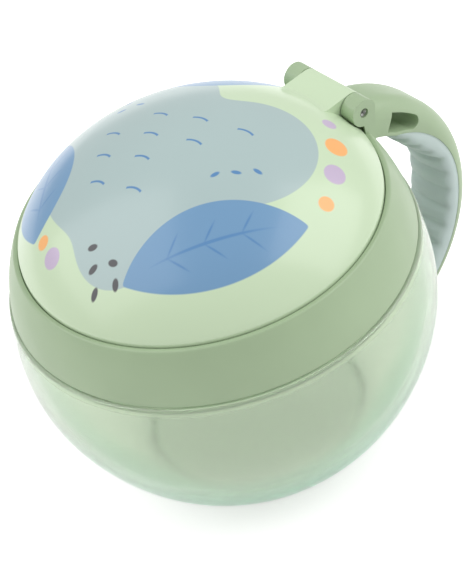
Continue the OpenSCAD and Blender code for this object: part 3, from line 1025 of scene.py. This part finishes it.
@dataclass
class Handle:
    """The carrying handle with its slot and its ribbed soft grip."""

    finish: Finish
    rubber: Finish
    hinge: Hinge
    arc: Arc = field(default_factory=Arc)
    outer: float = 39.8
    width: float = 16.0
    depth: float = 4.1
    crown: float = 5.0
    root: float = 8.0
    root_in: float = 30.1
    collar_wall: float = 46.5
    curve_end: float = 95.0
    curve_shift: float = 9.5
    end: float = 152.0
    tip: float = 9.0
    edge_round: float = 0.55
    slot_in: float = 31.0
    slot_out: float = 36.4
    slot_floor: float = 0.9
    slot_from: float = 31.5
    slot_to: float = 45.8
    heel_angle: float = 53.6
    heel_level: float = 28.1
    heel_most: float = 40.0
    heel_soft: float = 0.8
    grip_from: float = 37.0
    grip_short: float = 1.0
    grip_tip: float = 8.6
    grip_round: float = 0.35
    edge: float = 3.0
    bulge: float = 1.4
    inset: float = 0.2
    side_from: float = 0.84
    side_drop: float = 0.8
    rib_start: float = 3.4
    rib_step: float = 5.4
    ribs: int = 10
    rib: float = 0.6
    groove: float = 0.4
    fade_from: float = 1.0
    fade_in: float = 1.6
    fade_out: float = 2.0
    side_power: int = 5
    skin: float = 0.02

    def section(self) -> Shape:
        """Make the handle's section standing at upright: flat inside, its outer corners well rounded."""
        half, mid, arc = self.width / 2, self.outer - self.crown, self.arc
        flat = half - self.crown
        line = Outline((-half, arc.y, arc.z + self.root_in)).to((-half, arc.y, arc.z + mid))
        line.swing((-flat, arc.y, arc.z + mid), BACK, math.pi / 2, 8).to((flat, arc.y, arc.z + self.outer))
        line.swing((flat, arc.y, arc.z + mid), BACK, math.pi / 2, 8).to((half, arc.y, arc.z + self.root_in))
        return line.filled()

    def hollow(self, angle: float, more: float = 0.0) -> float:
        """Return the radius of the handle's inner face at an angle.

        Args:
            angle: The angle from upright.
            more: How far outside that face the result lies.
        """
        a = math.radians(self.curve_end - angle)
        radius = self.outer - self.depth - self.curve_shift
        near = self.curve_shift * math.cos(a) + math.sqrt((radius + more) ** 2 - (self.curve_shift * math.sin(a)) ** 2)
        return near if angle < self.curve_end else self.outer - self.depth + more

    def beside(self, angle: float, radius: float) -> Vector:
        """Return the point of the arc's plane at an angle and a radius, pushed well beside the handle."""
        return self.arc.at(angle, radius, -self.width)

    def across(self, line: Outline) -> Shape:
        """Fill a line that lies beside the handle and push it across to the other side."""
        return push(line.filled(), (2 * self.width, 0.0, 0.0))

    def core(self, steps: int = 100) -> Shape:
        """Make the block that hollows the handle for its grip: one long curve with both its sides straight."""
        first, last = 10.0, self.end + 6.0
        line = Outline(self.beside(0.0, 12.0))
        for i in range(steps + 1):
            angle = first + (last - first) * i / steps
            line.to(self.beside(angle, self.hollow(angle)))
        return self.across(line)

    def slot(self, steps: int = 12) -> Shape:
        """Make the slot's hollow: square at the collar, round at its far end."""

        def low(angle: float) -> float:
            """Return the radius of the slot's inner side at an angle."""
            return max(self.slot_in, self.hollow(angle, self.slot_floor))

        run = self.slot_to - self.slot_from
        line = Outline(self.beside(self.slot_from, self.slot_out))
        for i in range(steps + 1):
            angle = self.slot_from + run * i / steps
            line.to(self.beside(angle, low(angle)))
        middle = self.beside(self.slot_to, (low(self.slot_to) + self.slot_out) / 2)
        line.swing(middle, ACROSS, math.pi, 16)
        for i in range(1, steps):
            line.to(self.beside(self.slot_to - run * i / steps, self.slot_out))
        return self.across(line)

    def tip_cutter(self, radius: float) -> Shape:
        """Make what the rounded tip leaves away: a ring sector beyond the end, round a bar of the tip's radius."""
        angle = self.end - math.degrees(math.asin(self.tip / (self.outer - self.depth / 2)))
        bm = bmesh.new()
        inner = bmesh.ops.create_circle(bm, cap_ends=False, radius=radius, segments=96)["verts"]
        made = bmesh.ops.extrude_edge_only(bm, edges=list({e for v in inner for e in v.link_edges}))
        outer = [v for v in made["geom"] if isinstance(v, bmesh.types.BMVert)]
        bmesh.ops.scale(bm, verts=outer, vec=(3.0, 3.0, 1.0))
        cut_off(push(bm, (0.0, 0.0, 60.0)), (0.0, self.skin, 0.0), (0.0, -1.0, 0.0))
        return facing_out(move(turn(bm, -math.radians(angle), "X"), (0.0, self.arc.y, self.arc.z)))

    def bar(self) -> bpy.types.Object:
        """Make the hard part of the handle."""
        h = self.hinge
        made = piece("handle_bar", self.arc.sweep(self.section(), self.root, self.end, 96), self.finish)
        room = h.bar(h.barrel + h.pocket, -self.width, self.width)
        carved(made, [self.core(), self.slot(), self.tip_cutter(self.tip), post(self.collar_wall), room])
        return eased(made, self.edge_round, 42.0, 3)

    def grip_line(self, angle: float) -> float:
        """Return the radius of the middle of the grip's face, before its ribs."""
        straight = self.heel_level / math.cos(math.radians(min(self.heel_most, angle - self.heel_angle)))
        arc = self.outer - self.depth - self.edge - self.bulge
        h = min(1.0, max(0.0, 0.5 + 0.5 * (arc - straight) / self.heel_soft))
        return arc + (straight - arc) * h - self.heel_soft * h * (1 - h)

    def grip(self, columns: int = 30, steps: int = 300) -> bpy.types.Object:
        """Make the soft ribbed grip: a strip swept along the arc, then pushed to its crowned and waved surface.

        Args:
            columns: The number of strips across the grip.
            steps: The number of steps along it.

        Returns:
            The grip.
        """
        half = self.width / 2 - self.inset
        start, end = self.grip_from, self.end - self.grip_short
        bm = bmesh.new()
        bmesh.ops.create_grid(bm, x_segments=columns, y_segments=1, size=0.5)
        turn(bm, math.pi / 2, "X")
        bmesh.ops.scale(bm, verts=bm.verts, vec=(2 * half, 1.0, 1.0))
        move(bm, (0.0, self.arc.y, self.arc.z + self.root_in))
        self.arc.sweep(bm, start, end, steps)
        angles = [start + (end - start) * i / steps for i in range(steps + 1)]
        line = [self.arc.at(angle, self.grip_line(angle)) for angle in angles]
        run = [0.0]
        for a, b in zip(line, line[1:]):
            run.append(run[-1] + (a - b).length)
        last = self.rib_start + (self.ribs - 0.5) * self.rib_step
        for v in bm.verts:
            angle, radius = self.arc.polar(v.co)
            across = min(1.0, abs(v.co.x) / half)
            back = self.hollow(angle) - self.skin
            if radius > self.root_in:
                v.co = self.arc.at(angle, back, v.co.x)
                continue
            along = run[round((angle - start) / (end - start) * steps)]
            wave = 1.0 - (0.5 - 0.5 * math.cos(math.tau * (along - self.rib_start) / self.rib_step)) ** 2
            fade = smooth((along - self.fade_from) / self.fade_in) * smooth((last - along) / self.fade_out)
            drop = self.side_drop * max(0.0, (across - self.side_from) / (1.0 - self.side_from)) ** 2
            ridge = (self.rib * wave - self.groove * (1.0 - wave)) * fade * (1 - across**self.side_power)
            face = self.grip_line(angle) + self.bulge * across**2 + drop - ridge
            v.co = self.arc.at(angle, min(face, back - 2 * self.skin), v.co.x)
        made = piece("soft_grip", bm, self.rubber, 50.0)
        carved(made, [self.tip_cutter(self.grip_tip)])
        return eased(made, self.grip_round, 50.0)

    def build(self) -> None:
        """Build the handle and its grip."""
        place(self.bar(), "collar", "collar_plastic", "handle")
        place(self.grip(), "collar", "grip_rubber", "handle_grip")


@dataclass
class Lid:
    """The domed lid with its plug, its seal's groove and its hinge knuckle."""

    printed: Finish
    finish: Finish
    hinge: Hinge
    edge: float = 46.0
    edge_z: float = 72.3
    plane_z: float = 74.3
    crown: float = 70.0
    shoulder: float = 36.0
    break_angle: float = 25.0
    crease: float = 1.0
    wall: float = 2.2
    plug: float = 41.2
    plug_wall: float = 1.6
    plug_depth: float = 1.9
    bridge_z: float = 73.6
    hollow: float = 3.0
    overlap: float = 0.8
    edge_round: float = 0.3
    print_near: float = 0.25
    print_below: float = 0.5
    hair: float = 0.02

    def centres(self) -> tuple[Point, Point]:
        """Return the centres of the crown's and the shoulder's circle."""
        a, b = math.radians(self.break_angle), math.radians(self.break_angle - self.crease)
        x = self.crown * math.sin(a) - self.shoulder * math.sin(b)
        z = self.plane_z - math.sqrt(self.shoulder**2 - (self.edge - x) ** 2)
        return (0.0, z + self.shoulder * math.cos(b) - self.crown * math.cos(a)), (x, z)

    def fold(self, inset: float) -> Point:
        """Return the point where crown and shoulder meet, moved inwards by an inset."""
        a, radius = math.radians(self.break_angle), self.crown - inset
        return (radius * math.sin(a), self.centres()[0][1] + radius * math.cos(a))

    def under(self, radius: float, inset: float) -> Point:
        """Return the point of the shoulder at a radius, moved inwards by an inset."""
        x, z = self.centres()[1]
        return (radius, z + math.sqrt((self.shoulder - inset) ** 2 - (radius - x) ** 2))

    def rim(self) -> float:
        """Return the radius at which the dome's inner skin ends."""
        x, z = self.centres()[1]
        return x + math.sqrt((self.shoulder - self.wall) ** 2 - (self.plane_z - z) ** 2)

    def skin(self, inset: float, end: Point) -> Section:
        """Draw the dome from its top down to a point, moved inwards by an inset."""
        crown, shoulder = self.centres()
        section = Section((0.0, crown[1] + self.crown - inset))
        return section.arc_to(crown, self.fold(inset), 20).arc_to(shoulder, end, 20)

    def shell(self) -> Shape:
        """Make the dome's shell with its upright edge, its plug and the groove between them for the seal."""
        crown, shoulder = self.centres()
        low, bore = self.edge_z - self.plug_depth, self.plug - self.plug_wall
        section = self.skin(0.0, (self.edge, self.plane_z))
        section.line_to((self.edge, self.edge_z), (self.rim(), self.edge_z), (self.rim(), self.plane_z))
        section.arc_to(shoulder, self.under(self.plug, self.wall), 6)
        section.line_to((self.plug, low), (bore, low), self.under(bore, self.wall))
        section.arc_to(shoulder, self.fold(self.wall), 16).arc_to(crown, (0.0, crown[1] + self.crown), 20)
        return round_rings(
            section.revolve(),
            (self.edge, self.plane_z, 0.35, 4),
            (self.edge, self.edge_z, 0.3, 2),
            (self.plug, low, 0.3, 2),
        )

    def free_room(self) -> list[Shape]:
        """Make the two rooms under the dome, inside the plug and in the groove, a hair smaller than they are."""
        hair, low = self.hair, self.plane_z - 1.0
        inset, bore, rim = self.wall + hair, self.plug - self.plug_wall - hair, self.rim() - hair
        middle = self.skin(inset, self.under(bore, inset)).line_to((bore, low), (0.0, low)).close()
        groove = Section((self.plug + hair, low)).line_to(self.under(self.plug + hair, inset))
        groove.arc_to(self.centres()[1], self.under(rim, inset), 6).line_to((rim, low)).close()
        return [middle.revolve(), groove.revolve()]

    def sweep_in(self) -> Shape:
        """Make the hollow rounding that leads from the dome to the top of the knuckle."""
        h = self.hinge
        x, z = self.centres()[1]
        top = h.z + h.barrel
        up, far = top + self.hollow - z, self.shoulder + self.hollow
        away = x + math.sqrt(far**2 - up**2)
        on_dome = (x + (away - x) * self.shoulder / far, z + up * self.shoulder / far)
        section = Section(on_dome).arc_to((away, top + self.hollow), (away, top), 6)
        section.line_to((away, top - self.overlap), (on_dome[0] - self.overlap, on_dome[1] - self.overlap))
        half = math.asin(h.knuckle / 2 / away) + 0.05
        bm = turn(section.filled(), math.pi / 2 - half, "Z")
        bmesh.ops.spin(bm, geom=list(bm.faces), cent=CENTRE, axis=UP, angle=2 * half, steps=24)
        for side in (-1, 1):
            cut_off(bm, (side * h.knuckle / 2, 0.0, 0.0), (side, 0.0, 0.0))
        return facing_out(bm)

    def build(self) -> None:
        """Build the lid."""
        h = self.hinge
        half, front = h.knuckle / 2, self.crown * math.sin(math.radians(self.break_angle)) + self.wall
        made = piece("domed_lid", self.shell(), self.finish)
        bridge = block(Vector((-half, front, self.bridge_z)), Vector((half, h.y, h.z + h.barrel)))
        carved(made, [bridge, h.bar(h.barrel, -half, half), self.sweep_in()], "UNION")
        sides = [h.bar(h.barrel + h.pocket, side * half, side * (h.width / 2 + h.gap)) for side in (-1, 1)]
        carved(made, [*self.free_room(), *sides, h.bore()])
        eased(made, self.edge_round)
        self.split(made)
        place(made, "lid", "lid_plastic", "lid")

    def split(self, made: bpy.types.Object) -> None:
        """Give the faces on the dome's outer skin the printed finish and leave the rest plain."""
        crown, shoulder = self.centres()
        made.data.materials.append(self.printed)
        for face in made.data.polygons:
            x, y, z = face.center / MM
            out = math.hypot(x, y)
            centre, radius = (crown, self.crown) if out < self.fold(0.0)[0] else (shoulder, self.shoulder)
            gap = abs(math.hypot(out - centre[0], z - centre[1]) - radius)
            face.material_index = int(gap < self.print_near and z > self.plane_z - self.print_below)


@dataclass
class Mouth:
    """The six soft flaps, and the finishes of the rings and seals."""

    finish: Finish
    seal: Finish
    hard: Finish
    flaps: int = 6
    reach: float = 33.0
    tip: float = 3.5
    slit: float = 0.8
    level: float = 69.1
    thick: float = 1.2
    corner_round: float = 0.9
    edge_round: float = 0.35

    def flap(self, index: int) -> bpy.types.Object:
        """Make one flap: a wedge with soft edges."""
        half = math.pi / self.flaps
        gap, low = self.slit / 2 / math.cos(half), self.level - self.thick / 2
        near, far = self.tip * math.tan(half) - gap, self.reach * math.tan(half) - gap
        line = Outline((self.tip, -near, low))
        line.to((self.reach, -far, low), (self.reach, far, low), (self.tip, near, low))
        bm = push(line.filled(), (0.0, 0.0, self.thick))
        round_edges(bm, lambda e: abs(e.verts[0].co.z - e.verts[1].co.z) > 0.5, self.corner_round, 4)
        round_edges(bm, lambda e: corner(e, 60.0), self.edge_round, 3)
        return piece(f"soft_flap_{index + 1}", turn(bm, index * 2 * half, "Z"), self.finish)

    def build(self) -> None:
        """Build the flaps and give the rings and seals their finishes."""
        for index in range(self.flaps):
            name = f"flap_{index + 1}"
            place(self.flap(index), name, "flap_silicone", name)
        rings = {
            "flap_ring": self.finish,
            "flap_clamp_ring": self.hard,
            "bowl_seal": self.seal,
            "lid_seal": self.seal,
        }
        for node, finish in rings.items():
            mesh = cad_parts[node].data
            mesh.materials.clear()
            mesh.materials.append(finish)
            LOG.info("%s keeps its shape", node)


# Floor, light and camera, in metres


@dataclass
class Studio:
    """The plain floor, the lamps and the camera."""

    floor_size: float = 3.0
    floor_colour: Colour = (0.86, 0.86, 0.86, 1.0)
    ambient: float = 0.52
    floor_glow: float = 0.54
    glow_through: float = 0.5
    focal: float = 2500.0
    image: tuple[int, int] = (470, 588)
    sensor: float = 36.0
    azimuth: float = 60.0
    elevation: float = 42.3
    roll: float = -16.4
    eye: Place = (0.40712, -0.23192, 0.47052)
    middle: Place = (0.0, 0.0, 0.05)

    def world(self) -> None:
        """Light the room evenly, and show it white to the camera and through clear plastic."""
        world = bpy.data.worlds.new("room")
        bpy.context.scene.world = world
        world.use_nodes = True
        nodes = Nodes(world.node_tree)
        path = nodes.add("ShaderNodeLightPath").outputs
        seen = nodes.maths("MAXIMUM", path["Is Camera Ray"], path["Is Transmission Ray"])
        even = nodes.feed(nodes.add("ShaderNodeBackground"), Color=WHITE, Strength=self.ambient)
        white = nodes.feed(nodes.add("ShaderNodeBackground"), Color=WHITE, Strength=1.0)
        mix = nodes.feed(nodes.add("ShaderNodeMixShader"), seen, even.outputs[0], white.outputs[0])
        nodes.feed(nodes.add("ShaderNodeOutputWorld"), Surface=mix.outputs[0])

    def floor(self) -> None:
        """Lay the white floor, which keeps the object's soft shadow."""
        bm = bmesh.new()
        bmesh.ops.create_grid(bm, x_segments=1, y_segments=1, size=self.floor_size / 2 / MM)
        board = Board("white_floor")
        path = board.add("ShaderNodeLightPath").outputs
        through = board.maths("MAXIMUM", path["Is Glossy Ray"], path["Is Transmission Ray"])
        seen = board.maths("MULTIPLY", path["Is Camera Ray"], self.floor_glow)
        glow = board.maths("MAXIMUM", seen, board.maths("MULTIPLY", through, self.glow_through))
        board.set(Base_Color=self.floor_colour, Roughness=0.9, Specular_IOR_Level=0.1)
        board.set(Emission_Color=WHITE, Emission_Strength=glow)
        piece("floor", bm, board.material)

    def lamp(self, name: str, at: Place, size: float, power: float) -> None:
        """Hang a soft square lamp that points at the middle of the object.

        Args:
            name: The lamp's name.
            at: Where it hangs.
            size: The length of its side.
            power: Its power in watts.
        """
        light = bpy.data.lights.new(name, "AREA")
        light.shape = "RECTANGLE"
        light.size = light.size_y = size
        light.energy = power
        lamp = bpy.data.objects.new(name, light)
        aim = Vector(self.middle) - Vector(at)
        lamp.matrix_world = Matrix.Translation(at) @ aim.to_track_quat("-Z", "Y").to_matrix().to_4x4()
        bpy.context.scene.collection.objects.link(lamp)

    def camera(self) -> None:
        """Stand the camera where the photograph was taken from."""
        a, e, r = (math.radians(v) for v in (self.azimuth, self.elevation, self.roll))
        back = Vector((math.sin(a) * math.cos(e), -math.cos(a) * math.cos(e), math.sin(e)))
        right = Vector((math.cos(a), math.sin(a), 0.0))
        up = back.cross(right)
        x, y = math.cos(r) * right + math.sin(r) * up, math.cos(r) * up - math.sin(r) * right
        data = bpy.data.cameras.new("camera")
        data.sensor_width = self.sensor
        data.lens = self.focal * self.sensor / max(self.image)
        data.clip_start, data.clip_end = 0.01, 20.0
        camera = bpy.data.objects.new("camera", data)
        camera.matrix_world = Matrix.Translation(self.eye) @ Matrix((x, y, back)).transposed().to_4x4()
        bpy.context.scene.collection.objects.link(camera)
        bpy.context.scene.camera = camera

    def build(self) -> None:
        """Build the surroundings."""
        self.camera()
        self.world()
        self.floor()
        self.lamp("key", (-0.6, -0.7, 1.1), 1.6, 10.5)
        self.lamp("fill", (0.7, 1.0, 0.95), 1.4, 12.3)
        bpy.context.scene.view_settings.view_transform = "Standard"


def main() -> None:
    """Build every sub-assembly in order."""
    logging.basicConfig(level=logging.INFO, format="%(name)s: %(message)s")
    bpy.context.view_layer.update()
    Studio().build()
    sage = Moulded("collar_plastic", "A6BC98", 0.42, coat=0.1).material()
    rubber = Moulded("grip_rubber", "CCDCD9", 0.58, 5200.0, 1.2e-5, sheen=0.15).material()
    silicone = Moulded("flap_silicone", "B6C6C8", 0.5, 1800.0, 8e-6, glow=0.15).material()
    seal = Moulded("seal_silicone", "ECEFEA", 0.45, glow=0.2).material()
    plain = Moulded("lid_plastic", "CEE2C0", 0.28, 900.0, 1e-6, coat=0.2, shade=0.01, uneven=0.1)
    printed = LidPrint(replace(plain, name="lid_print")).material()
    hinge = Hinge()
    Bowl(ClearPlastic().material()).build()
    Collar(sage, hinge).build()
    Handle(sage, rubber, hinge).build()
    hinge.build(Steel().material())
    Lid(printed, plain.material(), hinge).build()
    Mouth(silicone, seal, sage).build()


if __name__ == "__main__":
    main()
